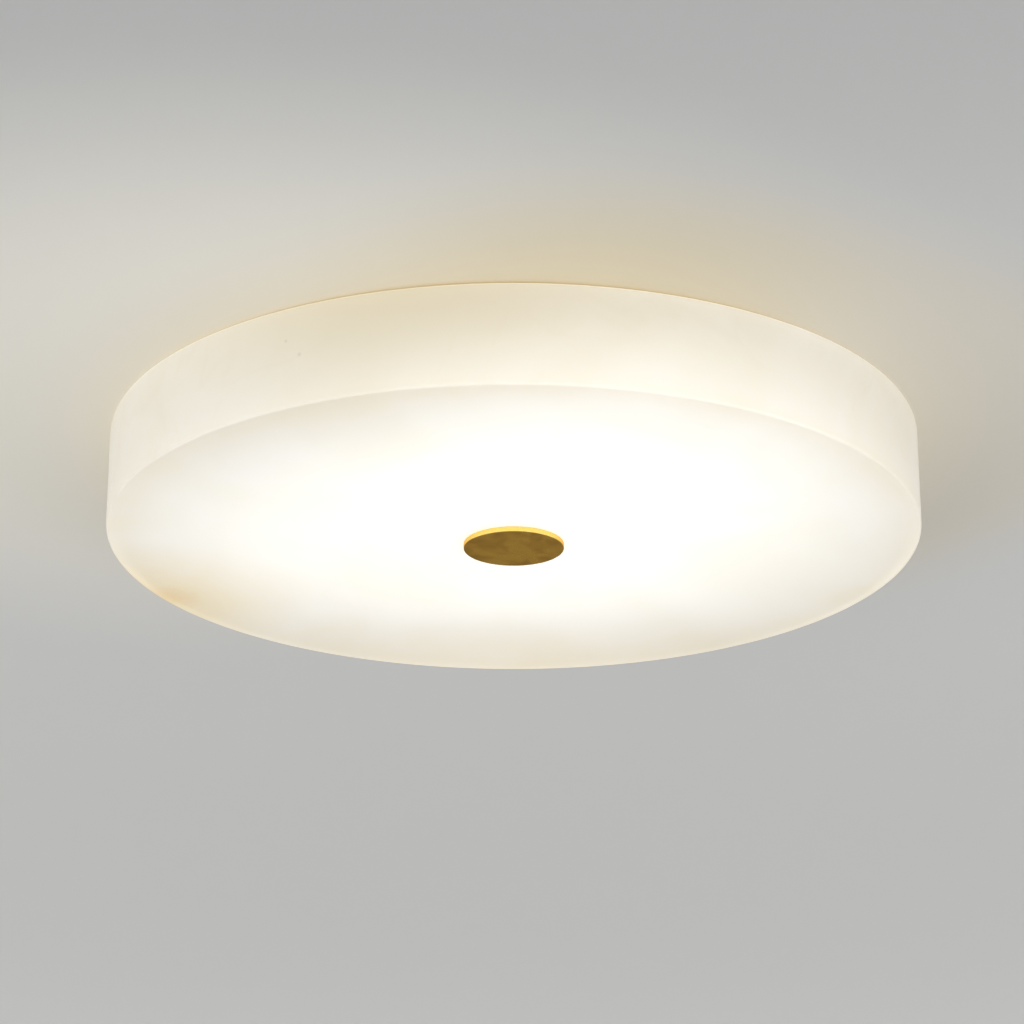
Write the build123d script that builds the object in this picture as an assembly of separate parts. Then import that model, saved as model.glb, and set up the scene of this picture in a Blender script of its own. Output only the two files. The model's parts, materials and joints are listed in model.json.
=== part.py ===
from build123d import *

import os
from math import asin, cos, degrees, radians, sin, sqrt

# A lit alabaster drum that hangs close under a ceiling.
# Millimetres, +Z up. The ceiling is the plane z = 0 and the light hangs below it.

# Stone shade
shade_diameter = 500.0
shade_height = 61.0
shade_wall = 12.0
shade_floor = 12.0
shade_edge_round = 1.5
shade_rim_round = 1.0
shade_cove = 8.0
rim_gap = 1.0

# Finial, rod and the stop that the stone is clamped against
finial_diameter = 62.0
finial_thickness = 3.3
finial_edge_round = 0.5
boss_height = 10.0
boss_wall = 2.0
boss_floor = 0.4
rod_diameter = 10.0
thread_pitch = 1.0
threads_held = 9
rod_nut_flats = 14.0
rod_nut_height = 4.0
finial_gasket_diameter = 52.0
finial_gasket_thickness = 1.0
finial_rim_gap = 0.3
bush_wall = 1.4
bush_flange = 4.0
bush_flange_height = 1.0
seat_diameter = 60.0
seat_washer_thickness = 2.0
seat_gasket_thickness = 1.5

# Crossbar on the ceiling
bracket_width = 26.0
bracket_sheet = 2.0
bracket_fold = 6.0
bracket_end = 13.0
bracket_corner = 4.0
bracket_bend = 1.5
slot_spacing = 89.0
slot_length = 16.0
slot_width = 5.0
slot_to_stud = 9.5

# Pressed pan
pan_side_gap = 28.0
pan_depth = 26.0
pan_sheet = 1.2
pan_flange = 8.0
pan_draft = 12.0
pan_bend = 4.0
bead_width = 16.0
bead_height = 3.0
bead_bend = 2.5

# M4 and M3 fasteners
stud_diameter = 4.0
stud_flange_diameter = 6.4
stud_flange_height = 0.9
stud_past_nut = 1.0
nut_flats = 7.0
nut_height = 3.2
nut_chamfer = 0.4
cap_nut_dome = 3.2
cap_nut_bore = 4.6
washer_diameter = 9.0
washer_thickness = 0.8
screw_diameter = 3.0
screw_head_diameter = 5.6
screw_head_height = 1.8
screw_head_round = 0.7
screw_past_sheet = 2.4

# Light engine
board_thickness = 1.6
board_edge_gap = 43.0
board_stud_gap = 22.0
channel_width = 16.0
board_screw_inset = 6.0
board_screw_angle = 29.0
chip_length = 3.5
chip_width = 2.8
chip_height = 0.8
chip_edge = 14.0
chip_row_pitch = 20.0
chip_pitch = 14.0
chip_clear_of_plugs = 5.0
plug_length = 7.0
plug_width = 8.0
plug_height = 4.0
plug_chamfer = 0.8
plug_edge = 10.0
plug_stud_gap = 11.0

# Driver and supply terminal
driver_length = 118.0
driver_width = 42.0
driver_base_height = 5.0
driver_cover_height = 13.0
driver_cover_inset = 1.0
driver_round = 3.0
driver_lid_round = 1.8
driver_lug_length = 12.0
driver_lug_width = 16.0
driver_lug_thickness = 3.0
driver_clear = 12.0
terminal_poles = 3
pole_pitch = 10.0
terminal_width = 18.0
terminal_rail_height = 13.0
terminal_tower_height = 2.0
terminal_tower_diameter = 7.0
terminal_clear = 22.0
terminal_end = 1.2
clamp_diameter = 5.2
clamp_bore = 3.2
clamp_length = 14.0
clamp_screw_offset = 4.0
clamp_screw_sunk = 1.0

# Leads
lead_diameter = 2.2
lead_height = 9.0
lead_spread = 16.0
lane_spread = 5.0
lane_turn = 29.0
lane_corner = 22.0
lane_sweep = 40.0
pair_pitch = 3.4
lead_in_clamp = 5.0
drop_bend_upper = 6.0
drop_bend_lower = 4.0
grommet_hole = 7.0
grommet_diameter = 16.0
grommet_neck = 12.0
grommet_lip = 2.0
grommet_clear = 18.0
clip_length = 6.0
clip_wall = 1.6
clip_foot = 1.2
clip_mouth = 1.2
supply_clip_y = 20.0
output_clip_inset = 12.0
lug_thickness = 0.8
lug_diameter = 8.5
lug_barrel_diameter = 3.6
lug_barrel_length = 6.0
lug_neck = 2.0
earth_reach = 36.0
earth_straight = 6.0
earth_rise_run = 14.0
earth_bend = 10.0

# Clearances
running_gap = 0.3
thread_gap = 0.1
hole_gap = 0.25
rod_pan_gap = 0.6
ceiling_clear = 0.5

# Heights
z_rim = -rim_gap
z_stone_bottom = z_rim - shade_height
z_stone_floor = z_stone_bottom + shade_floor
z_seat_washer = z_stone_floor + seat_gasket_thickness
z_seat_nut = z_seat_washer + seat_washer_thickness
z_finial_top = z_stone_bottom - finial_rim_gap
z_finial_recess = z_stone_bottom - finial_gasket_thickness
z_finial_face = z_finial_top - finial_thickness
z_boss_top = z_finial_recess + boss_height
z_rod_end = z_boss_top - threads_held * thread_pitch
z_pan_inside = pan_sheet - pan_depth
z_pan_under = -pan_depth
z_cap_nut_top = z_pan_under - washer_thickness
z_board_under = z_pan_under - board_thickness
z_lead = z_pan_inside + lead_height
z_plug_lead = z_board_under - plug_height / 2

# Radii and places
rod_r = rod_diameter / 2
bore_r = rod_r + thread_gap
boss_r = bore_r + boss_wall
bush_inner_r = boss_r + running_gap
bush_outer_r = bush_inner_r + bush_wall
shade_hole_r = bush_outer_r + running_gap
bush_flange_r = shade_hole_r + bush_flange
shade_r = shade_diameter / 2
shade_inner_r = shade_r - shade_wall
pan_r = shade_inner_r - pan_side_gap
pan_wall_top_r = pan_r - pan_flange
pan_floor_r = pan_wall_top_r - pan_draft
stud_r = stud_diameter / 2
screw_r = screw_diameter / 2
lead_r = lead_diameter / 2
stud_x = slot_spacing / 2 + slot_length / 2 + slot_to_stud
board_inner_r = stud_x - board_stud_gap
board_outer_r = pan_floor_r - board_edge_gap
channel_half = channel_width / 2
plug_along = stud_x - plug_stud_gap
plug_across = channel_half + plug_edge
driver_y = board_inner_r + driver_clear + driver_width / 2
driver_stud_x = driver_length / 2 + driver_lug_length / 2
terminal_y = -(board_inner_r + terminal_clear)
grommet_x = board_inner_r - grommet_clear
grommet_y = plug_across
earth_x = -(terminal_width / 2 + earth_reach)
middle_pole = (terminal_poles - 1) / 2
pole_ys = [terminal_y + pole_pitch * (middle_pole - pole) for pole in range(terminal_poles)]
earth_y = pole_ys[-1]
lug_reach = lug_diameter / 2 + lug_neck
board_angles = [45.0, 135.0, 225.0, 315.0]
lane_inner_x = driver_length / 2 + lane_turn
lane_outer_x = lane_inner_x + lane_spread
driver_end_x = driver_length / 2 - driver_cover_inset
clamped_end_x = lead_in_clamp - clamp_length / 2
fixing_y = (pole_ys[0] + pole_ys[1]) / 2
output_clip_x = stud_x - output_clip_inset
ON_FLOOR = (Align.CENTER, Align.CENTER, Align.MIN)


def drum(radius, bottom, top):
    """Solid round bar about Z between two heights."""
    return Pos(0, 0, bottom) * Cylinder(radius, top - bottom, align=ON_FLOOR)


def ring(outer, inner, bottom, top):
    """Flat ring about Z between two heights."""
    return drum(outer, bottom, top) - drum(inner, bottom, top)


def turned(*profile):
    """Solid turned about Z from a closed outline of (radius, height) points."""
    return revolve(Plane.XZ * make_face(Polyline(*profile, close=True)), Axis.Z)


def polar(radius, angle):
    """Point at a radius and an angle in degrees, as x and y."""
    return radius * cos(radians(angle)), radius * sin(radians(angle))


def at(points, shape):
    """Copies of a shape at several x, y places, kept as separate solids."""
    return Compound(children=[Pos(x, y, 0) * shape for x, y in points])


def hex_bar(flats, bottom, top):
    """Hexagonal bar with its corners turned off at both ends, as on a nut."""
    corner_r = flats / sqrt(3)
    bar = Pos(0, 0, bottom) * extrude(RegularPolygon(flats / 2, 6, major_radius=False), top - bottom)
    turning = drum(corner_r, bottom, top)
    return bar & chamfer(turning.edges().filter_by(GeomType.CIRCLE), nut_chamfer)


def hex_nut(flats, bottom, top, bore):
    """Plain hexagon nut about Z."""
    return hex_bar(flats, bottom, top) - drum(bore, bottom, top)


def pan_head_screw(seat, tip):
    """Screw about Z whose head sits at one height and whose tip is at another."""
    head = drum(screw_head_diameter / 2, -screw_head_height, 0)
    head = fillet(head.edges().group_by(Axis.Z)[0], screw_head_round)
    screw = head + drum(screw_r, 0, abs(tip - seat))
    if tip < seat:
        screw = Rot(180, 0, 0) * screw
    return Pos(0, 0, seat) * screw


def lead(points, radii):
    """Round insulated lead along straight runs joined by tangent arcs."""
    route = FilletPolyline(*points, radius=radii)
    start = Plane(route @ 0, z_dir=route % 0)
    return sweep(start * Circle(lead_r), path=route)


def alabaster_shade():
    """Turned stone drum: floor, wall, rounded edges, inside cove and centre hole."""
    section = Polyline(
        (shade_hole_r, z_stone_bottom),
        (shade_r, z_stone_bottom),
        (shade_r, z_rim),
        (shade_inner_r, z_rim),
        (shade_inner_r, z_stone_floor),
        (shade_hole_r, z_stone_floor),
        close=True,
    )
    face = make_face(section)
    for radius, height, rounding in (
        (shade_r, z_stone_bottom, shade_edge_round),
        (shade_r, z_rim, shade_rim_round),
        (shade_inner_r, z_rim, shade_rim_round),
        (shade_inner_r, z_stone_floor, shade_cove),
    ):
        corner = face.vertices().sort_by_distance((radius, height))[0]
        face = fillet(corner, rounding)
    return revolve(Plane.XZ * face, Axis.Z)


def shade_bush():
    """Flanged nylon bush that lines the hole in the stone."""
    sleeve_bottom = z_stone_bottom + running_gap
    flange_top = z_stone_floor + bush_flange_height
    return turned(
        (bush_inner_r, sleeve_bottom),
        (bush_outer_r, sleeve_bottom),
        (bush_outer_r, z_stone_floor),
        (bush_flange_r, z_stone_floor),
        (bush_flange_r, flange_top),
        (bush_inner_r, flange_top),
    )


def finial():
    """Brass disc with a rounded rim, a recess for its gasket and a threaded boss that goes up the bush."""
    disc = drum(finial_diameter / 2, z_finial_face, z_finial_top)
    disc = fillet(disc.edges().filter_by(GeomType.CIRCLE), finial_edge_round)
    disc -= drum(finial_gasket_diameter / 2 + running_gap, z_finial_recess, z_finial_top)
    boss = drum(boss_r, z_finial_recess, z_boss_top)
    return disc + boss - drum(bore_r, z_rod_end - boss_floor, z_boss_top)


def finial_gasket():
    """Soft ring in the disc's recess, which stands a little proud and bears on the stone."""
    return ring(finial_gasket_diameter / 2, bush_inner_r, z_finial_recess, z_stone_bottom)


def centre_rod():
    """Threaded rod from the crossbar down into the finial."""
    return drum(rod_r, z_rod_end, -ceiling_clear)


def rod_lock_nut():
    """Nut that locks the rod under the crossbar."""
    top = -bracket_sheet
    return hex_nut(rod_nut_flats, top - rod_nut_height, top, bore_r)


def seat_nut():
    """Nut that sets how high the stone sits."""
    return hex_nut(rod_nut_flats, z_seat_nut, z_seat_nut + rod_nut_height, bore_r)


def seat_washer():
    """Wide washer that spreads the clamping force on the stone."""
    return ring(seat_diameter / 2, bore_r + hole_gap, z_seat_washer, z_seat_nut)


def seat_gasket():
    """Soft ring between the wide washer and the stone, around the bush's flange."""
    return ring(seat_diameter / 2, bush_flange_r + running_gap, z_stone_floor, z_seat_washer)


def mounting_bracket():
    """Folded crossbar with two screw slots and a threaded centre hole."""
    length = 2 * (stud_x + bracket_end)
    inside_width = bracket_width - 2 * bracket_sheet
    inside_depth = bracket_fold - bracket_sheet
    hung = (Align.CENTER, Align.MAX)
    section = Rectangle(bracket_width, bracket_fold, align=hung)
    section -= Pos(0, -bracket_sheet) * Rectangle(inside_width, inside_depth, align=hung)
    section = fillet(section.vertices().group_by(Axis.Y)[-1], bracket_bend)
    bar = extrude(Plane.YZ * section, length / 2, both=True)
    bar &= extrude(RectangleRounded(length, bracket_width, bracket_corner), -bracket_fold)
    slot = extrude(SlotOverall(slot_length, slot_width), -bracket_sheet)
    for side in (-1, 1):
        bar -= Pos(side * slot_spacing / 2, 0, 0) * slot
    return bar - drum(bore_r, -bracket_sheet, 0)


def bracket_studs():
    """Two flanged studs welded under the crossbar."""
    top = -bracket_sheet
    end = z_cap_nut_top - cap_nut_bore + running_gap
    stud = drum(stud_r, end, top) + drum(stud_flange_diameter / 2, top - stud_flange_height, top)
    return at([(-stud_x, 0), (stud_x, 0)], stud)


def pan_washers():
    """Washers under the pan on the crossbar's studs."""
    washer = ring(washer_diameter / 2, stud_r + hole_gap, z_cap_nut_top, z_pan_under)
    return at([(-stud_x, 0), (stud_x, 0)], washer)


def pan_cap_nuts():
    """Domed nuts that hold the pan up."""
    shoulder = z_cap_nut_top - nut_height
    nut = hex_bar(nut_flats, shoulder, z_cap_nut_top) + Pos(0, 0, shoulder) * Sphere(cap_nut_dome)
    nut -= drum(stud_r + thread_gap, z_cap_nut_top - cap_nut_bore, z_cap_nut_top)
    return at([(-stud_x, 0), (stud_x, 0)], nut)


def board_screw_places():
    """Screw places of all four boards: two near the rim and one near the centre."""
    outer = board_outer_r - board_screw_inset
    inner = board_inner_r + board_screw_inset
    places = []
    for angle in board_angles:
        places.append(polar(inner, angle))
        places.append(polar(outer, angle - board_screw_angle))
        places.append(polar(outer, angle + board_screw_angle))
    return places


def ceiling_pan():
    """Pressed dish: ceiling flange, drafted wall, floor with a ring bead, and its holes."""
    flange_z = -pan_sheet / 2
    floor_z = z_pan_under + pan_sheet / 2
    bead_r = (board_outer_r + pan_floor_r) / 2
    centre_line = FilletPolyline(
        (pan_r, flange_z),
        (pan_wall_top_r, flange_z),
        (pan_floor_r, floor_z),
        (bead_r + bead_width / 2, floor_z),
        (bead_r + bead_width / 4, floor_z + bead_height),
        (bead_r - bead_width / 4, floor_z + bead_height),
        (bead_r - bead_width / 2, floor_z),
        (rod_r + rod_pan_gap, floor_z),
        radius=[pan_bend, pan_bend, bead_bend, bead_bend, bead_bend, bead_bend],
    )
    dish = revolve(Plane.XZ * trace(centre_line, pan_sheet), Axis.Z)
    stud_hole = drum(stud_r + hole_gap, z_pan_under, z_pan_inside)
    for side in (-1, 1):
        dish -= Pos(side * stud_x, 0, 0) * stud_hole
    screw_hole = drum(screw_r + thread_gap, z_pan_under, z_pan_inside)
    for x, y in board_screw_places() + [(0, fixing_y)]:
        dish -= Pos(x, y, 0) * screw_hole
    grommet_cut = drum(grommet_neck / 2 + hole_gap, z_pan_under, z_pan_inside)
    return dish - Pos(grommet_x, grommet_y, 0) * grommet_cut


def driver_studs():
    """Two studs welded inside the pan for the driver."""
    top = z_pan_inside + driver_lug_thickness + nut_height + stud_past_nut
    return at([(-driver_stud_x, driver_y), (driver_stud_x, driver_y)], drum(stud_r, z_pan_inside, top))


def earth_stud():
    """Stud welded inside the pan for the earth lug."""
    top = z_pan_inside + lug_thickness + nut_height + stud_past_nut
    return Pos(earth_x, earth_y, 0) * drum(stud_r, z_pan_inside, top)


def wire_grommet():
    """Rubber grommet where the output leads pass through the pan."""
    outer = grommet_diameter / 2
    neck = grommet_neck / 2
    hole = grommet_hole / 2
    body = turned(
        (hole, z_pan_under - grommet_lip),
        (outer, z_pan_under - grommet_lip),
        (outer, z_pan_under),
        (neck, z_pan_under),
        (neck, z_pan_inside),
        (outer, z_pan_inside),
        (outer, z_pan_inside + grommet_lip),
        (hole, z_pan_inside + grommet_lip),
    )
    lips = body.edges().filter_by(GeomType.CIRCLE).group_by(Axis.Z)
    outer_lips = [edge for group in (lips[0], lips[-1]) for edge in group if edge.radius > neck]
    return Pos(grommet_x, grommet_y, 0) * fillet(outer_lips, grommet_lip / 2)


def led_board(angle):
    """Quarter ring of aluminium circuit board, cut back beside the cross channel."""
    ring_face = Circle(board_outer_r) - Circle(board_inner_r)
    side = board_outer_r - channel_half
    quarter = Pos(channel_half, channel_half) * Rectangle(side, side, align=(Align.MIN, Align.MIN))
    blank = Pos(0, 0, z_board_under) * extrude(ring_face & quarter, board_thickness)
    board = Rot(0, 0, angle - board_angles[0]) * blank
    hole = drum(screw_r + hole_gap, z_board_under, z_pan_under)
    for x, y in board_screw_places():
        board -= Pos(x, y, 0) * hole
    return board


def chip_rows():
    """Radii of the chip rows, from the rim inwards as far as the plugs allow."""
    innermost = plug_along + plug_width / 2 + chip_clear_of_plugs
    rows = []
    radius = board_outer_r - chip_edge
    while radius > innermost:
        rows.append(radius)
        radius -= chip_row_pitch
    return rows


def led_chips(angle):
    """The chips of one board, in rows round the centre."""
    chip = Box(chip_length, chip_width, chip_height, align=(Align.CENTER, Align.CENTER, Align.MAX))
    chips = []
    for radius in chip_rows():
        half_span = 45 - degrees(asin((channel_half + chip_edge / 2) / radius))
        steps = int(radians(2 * half_span) * radius / chip_pitch)
        for step in range(steps + 1):
            turn = angle - half_span + 2 * half_span * step / steps
            x, y = polar(radius, turn)
            chips.append(Pos(x, y, z_board_under) * Rot(0, 0, turn) * chip)
    return Compound(children=chips)


def board_screws():
    """Screws that hold the boards to the pan."""
    screw = pan_head_screw(z_board_under, z_pan_inside + screw_past_sheet)
    return at(board_screw_places(), screw)


def plug_places():
    """Connector centres and the way their leads leave, as x, y and an angle."""
    places = [(plug_along, plug_across, 180)]
    for channel in (90, 180, 270):
        for side in (-1, 1):
            here = Rot(0, 0, channel) * Pos(plug_along, side * plug_across, 0)
            places.append((here.position.X, here.position.Y, channel - side * 90))
    return places


def board_connectors():
    """Two-pole connectors on the boards, with rounded backs."""
    body = Box(plug_length, plug_width, plug_height, align=(Align.CENTER, Align.CENTER, Align.MAX))
    body = chamfer(body.edges().group_by(Axis.Z)[0].filter_by(Axis.Y), plug_chamfer)
    plugs = [Pos(x, y, z_board_under) * Rot(0, 0, turn) * body for x, y, turn in plug_places()]
    return Compound(children=plugs)


def jumper_leads():
    """Pairs of short leads that cross the channels from board to board."""
    span = 2 * (plug_across - plug_length / 2)
    wire = Rot(90, 0, 0) * Cylinder(lead_r, span)
    leads = []
    for channel in (90, 180, 270):
        for side in (-1, 1):
            place = Pos(plug_along + side * pair_pitch / 2, 0, z_plug_lead)
            leads.append(Rot(0, 0, channel) * place * wire)
    return Compound(children=leads)


def driver_base():
    """Driver's moulded base with a slotted fixing lug at each end."""
    bottom = z_pan_inside
    tray = RectangleRounded(driver_length, driver_width, driver_round)
    reach = driver_length + 2 * driver_lug_length
    lugs = RectangleRounded(reach, driver_lug_width, driver_round)
    base = extrude(tray, driver_base_height) + extrude(lugs, driver_lug_thickness)
    base = Pos(0, 0, bottom) * base
    hole = drum(stud_r + hole_gap, bottom, bottom + driver_lug_thickness)
    for side in (-1, 1):
        base -= Pos(side * driver_stud_x, 0, 0) * hole
    return Pos(0, driver_y, 0) * base


def driver_cover():
    """Driver's lid, drawn in a little from the base, with rounded edges."""
    bottom = z_pan_inside + driver_base_height
    length = driver_length - 2 * driver_cover_inset
    width = driver_width - 2 * driver_cover_inset
    lid = extrude(RectangleRounded(length, width, driver_round), driver_cover_height)
    lid = fillet(lid.edges().group_by(Axis.Z)[-1], driver_lid_round)
    return Pos(0, driver_y, bottom) * lid


def driver_nuts():
    """Nuts on the driver's studs."""
    bottom = z_pan_inside + driver_lug_thickness
    nut = hex_nut(nut_flats, bottom, bottom + nut_height, stud_r + thread_gap)
    return at([(-driver_stud_x, driver_y), (driver_stud_x, driver_y)], nut)


def terminal_block():
    """Terminal strip: a rail with two screw towers for each pole and holes for the clamps."""
    top = z_pan_inside + terminal_rail_height
    length = terminal_poles * pole_pitch + 2 * terminal_end
    rail = Box(terminal_width, length, terminal_rail_height, align=ON_FLOOR)
    block = Pos(0, terminal_y, z_pan_inside) * fillet(rail.edges().filter_by(Axis.Z), terminal_end)
    tower = drum(terminal_tower_diameter / 2, top, top + terminal_tower_height)
    clamp_hole = Rot(0, 90, 0) * Cylinder(clamp_diameter / 2 + thread_gap, terminal_width)
    screw_hole = drum(screw_r + hole_gap, z_lead, top + terminal_tower_height)
    for x, y in clamp_screw_places():
        block += Pos(x, y, 0) * tower
    for x, y in clamp_screw_places():
        block -= Pos(x, y, 0) * screw_hole
    for y in pole_ys:
        block -= Pos(0, y, z_lead) * clamp_hole
    return block - Pos(0, fixing_y, 0) * drum(screw_r + hole_gap, z_pan_inside, top)


def clamp_screw_places():
    """Two screws for each pole of the terminal strip."""
    return [(side * clamp_screw_offset, y) for y in pole_ys for side in (-1, 1)]


def terminal_clamps():
    """Brass tubes that join the leads, with holes for their screws."""
    tube = Cylinder(clamp_diameter / 2, clamp_length) - Cylinder(clamp_bore / 2, clamp_length)
    tube = Rot(0, 90, 0) * tube
    hole = drum(screw_r + thread_gap, 0, clamp_diameter)
    for side in (-1, 1):
        tube -= Pos(side * clamp_screw_offset, 0, 0) * hole
    return Compound(children=[Pos(0, y, z_lead) * tube for y in pole_ys])


def terminal_screws():
    """Headless screws that press the leads in their clamps."""
    tip = z_lead + lead_r + thread_gap
    top = z_pan_inside + terminal_rail_height + terminal_tower_height - clamp_screw_sunk
    return at(clamp_screw_places(), drum(screw_r, tip, top))


def terminal_fixing_screw():
    """Screw that holds the terminal strip to the pan."""
    seat = z_pan_inside + terminal_rail_height
    return Pos(0, fixing_y, 0) * pan_head_screw(seat, z_pan_under - screw_past_sheet)


def earth_lug():
    """Ring lug on its stud, with the barrel that grips the earth lead."""
    barrel_r = lug_barrel_diameter / 2
    tongue = Rectangle(lug_reach, lug_barrel_diameter, align=(Align.MIN, Align.CENTER))
    flat = Circle(lug_diameter / 2) + tongue - Circle(stud_r + hole_gap)
    barrel = Rot(0, 90, 0) * Cylinder(barrel_r, lug_barrel_length, align=ON_FLOOR)
    lug = extrude(flat, lug_thickness) + Pos(lug_reach - lug_thickness, 0, barrel_r) * barrel
    return Pos(earth_x, earth_y, z_pan_inside) * lug


def earth_nut():
    """Nut on the earth stud."""
    bottom = z_pan_inside + lug_thickness
    nut = hex_nut(nut_flats, bottom, bottom + nut_height, stud_r + thread_gap)
    return Pos(earth_x, earth_y, 0) * nut


def earth_lead():
    """Lead from the earth lug up into the last pole of the terminal strip."""
    start_x = earth_x + lug_reach - lug_thickness + lug_barrel_length
    z_low = z_pan_inside + lug_barrel_diameter / 2
    rise_x = start_x + earth_straight
    points = [
        (start_x, earth_y, z_low),
        (rise_x, earth_y, z_low),
        (rise_x + earth_rise_run, earth_y, z_lead),
        (clamped_end_x, earth_y, z_lead),
    ]
    return lead(points, [earth_bend, earth_bend])


def supply_lead(driver_side, lane_x, pole):
    """Lead from the driver's input end, round a lane, to a pole of the terminal strip."""
    y_start = driver_y + driver_side * lead_spread / 2
    lane_extra = lane_x - lane_inner_x
    points = [
        (-driver_end_x, y_start, z_lead),
        (-lane_x, y_start, z_lead),
        (-lane_x, pole_ys[pole], z_lead),
        (clamped_end_x, pole_ys[pole], z_lead),
    ]
    return lead(points, [lane_corner + lane_extra, lane_sweep + lane_extra])


def live_lead():
    """Inner lane, first pole."""
    return supply_lead(-1, lane_inner_x, 0)


def neutral_lead():
    """Outer lane, second pole."""
    return supply_lead(1, lane_outer_x, 1)


def output_lead(driver_side, lane_x, pair_side):
    """Lead from the driver's output end, through the grommet, to the first board's connector."""
    y_start = driver_y + driver_side * lead_spread / 2
    y_pair = grommet_y + pair_side * pair_pitch / 2
    lane_extra = lane_x - lane_inner_x
    points = [
        (driver_end_x, y_start, z_lead),
        (lane_x, y_start, z_lead),
        (lane_x, y_pair, z_lead),
        (grommet_x, y_pair, z_lead),
        (grommet_x, y_pair, z_plug_lead),
        (plug_along - plug_length / 2, y_pair, z_plug_lead),
    ]
    turn = lane_corner + lane_extra
    return lead(points, [turn, turn, drop_bend_upper, drop_bend_lower])


def output_lead_positive():
    """Outer lane of the output pair."""
    return output_lead(1, lane_outer_x, -1)


def output_lead_negative():
    """Inner lane of the output pair."""
    return output_lead(-1, lane_inner_x, 1)


def wire_clip(spacing):
    """Raised nylon saddle that two leads snap into from above, along Y."""
    grip_r = lead_r + thread_gap
    width = spacing + 2 * (grip_r + clip_wall)
    foot = Box(width + 2 * clip_foot, clip_length + 2 * clip_foot, clip_foot, align=ON_FLOOR)
    post = Box(width, clip_length, lead_height + lead_r, align=ON_FLOOR)
    groove = Rot(90, 0, 0) * Cylinder(grip_r, clip_length)
    mouth = Box(clip_mouth, clip_length, lead_diameter, align=ON_FLOOR)
    clip = foot + post
    for side in (-1, 1):
        clip -= Pos(side * spacing / 2, 0, lead_height) * groove
        clip -= Pos(side * spacing / 2, 0, lead_height) * mouth
    return clip


def wire_clips():
    """Saddles on the supply lanes and on the output pair."""
    supply = Pos(-(lane_inner_x + lane_outer_x) / 2, supply_clip_y, z_pan_inside) * wire_clip(lane_spread)
    output = Pos(output_clip_x, grommet_y, z_pan_inside) * Rot(0, 0, 90) * wire_clip(pair_pitch)
    return Compound(children=[supply, output])


NODES = {
    "mounting_bracket": mounting_bracket,
    "bracket_studs": bracket_studs,
    "pan_washers": pan_washers,
    "pan_cap_nuts": pan_cap_nuts,
    "ceiling_pan": ceiling_pan,
    "driver_studs": driver_studs,
    "earth_stud": earth_stud,
    "wire_grommet": wire_grommet,
    "centre_rod": centre_rod,
    "rod_lock_nut": rod_lock_nut,
    "seat_nut": seat_nut,
    "seat_washer": seat_washer,
    "seat_gasket": seat_gasket,
    "board_screws": board_screws,
    "board_connectors": board_connectors,
    "jumper_leads": jumper_leads,
    "driver_base": driver_base,
    "driver_cover": driver_cover,
    "driver_nuts": driver_nuts,
    "terminal_block": terminal_block,
    "terminal_clamps": terminal_clamps,
    "terminal_screws": terminal_screws,
    "terminal_fixing_screw": terminal_fixing_screw,
    "earth_lug": earth_lug,
    "earth_nut": earth_nut,
    "earth_lead": earth_lead,
    "live_lead": live_lead,
    "neutral_lead": neutral_lead,
    "output_lead_positive": output_lead_positive,
    "output_lead_negative": output_lead_negative,
    "wire_clips": wire_clips,
    "alabaster_shade": alabaster_shade,
    "shade_bush": shade_bush,
    "finial_gasket": finial_gasket,
    "finial": finial,
}

os.makedirs("parts", exist_ok=True)
for node, make in NODES.items():
    export_step(make(), f"parts/{node}.step")
for number, angle in enumerate(board_angles, start=1):
    export_step(led_board(angle), f"parts/led_board_{number}.step")
    export_step(led_chips(angle), f"parts/led_chips_{number}.step")
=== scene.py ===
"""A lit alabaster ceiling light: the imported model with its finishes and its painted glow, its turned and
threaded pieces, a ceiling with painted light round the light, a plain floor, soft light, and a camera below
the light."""

import json
from math import asin, ceil, cos, pi, radians, sin

import bmesh
import bpy
from mathutils import Matrix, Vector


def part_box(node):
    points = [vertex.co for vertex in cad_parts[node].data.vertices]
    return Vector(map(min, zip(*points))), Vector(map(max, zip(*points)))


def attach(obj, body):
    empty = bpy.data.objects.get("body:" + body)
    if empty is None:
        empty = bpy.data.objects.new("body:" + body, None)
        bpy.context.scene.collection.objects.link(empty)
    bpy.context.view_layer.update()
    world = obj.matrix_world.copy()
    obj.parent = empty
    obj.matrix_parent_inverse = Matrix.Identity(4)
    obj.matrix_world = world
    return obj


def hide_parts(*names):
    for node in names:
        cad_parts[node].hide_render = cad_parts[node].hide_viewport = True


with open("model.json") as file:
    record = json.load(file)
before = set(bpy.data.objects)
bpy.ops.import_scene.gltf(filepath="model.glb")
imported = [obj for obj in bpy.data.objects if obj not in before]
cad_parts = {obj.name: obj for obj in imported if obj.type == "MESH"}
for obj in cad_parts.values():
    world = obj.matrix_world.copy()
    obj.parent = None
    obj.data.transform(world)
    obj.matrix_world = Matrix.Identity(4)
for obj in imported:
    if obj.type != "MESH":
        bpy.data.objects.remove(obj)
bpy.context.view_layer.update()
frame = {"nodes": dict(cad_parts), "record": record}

# Sizes in metres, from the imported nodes
MM = 0.001
stone_low, stone_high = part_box("alabaster_shade")
finial_low, finial_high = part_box("finial")
rod_low, rod_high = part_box("centre_rod")
SHADE_R = stone_high.x
SHADE_BOTTOM = stone_low.z
SHADE_RIM = stone_high.z
FINIAL_R = finial_high.x
FINIAL_FACE = finial_low.z
BOSS_TOP = finial_high.z
BOARD_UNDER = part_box("led_board_1")[0].z

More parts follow.
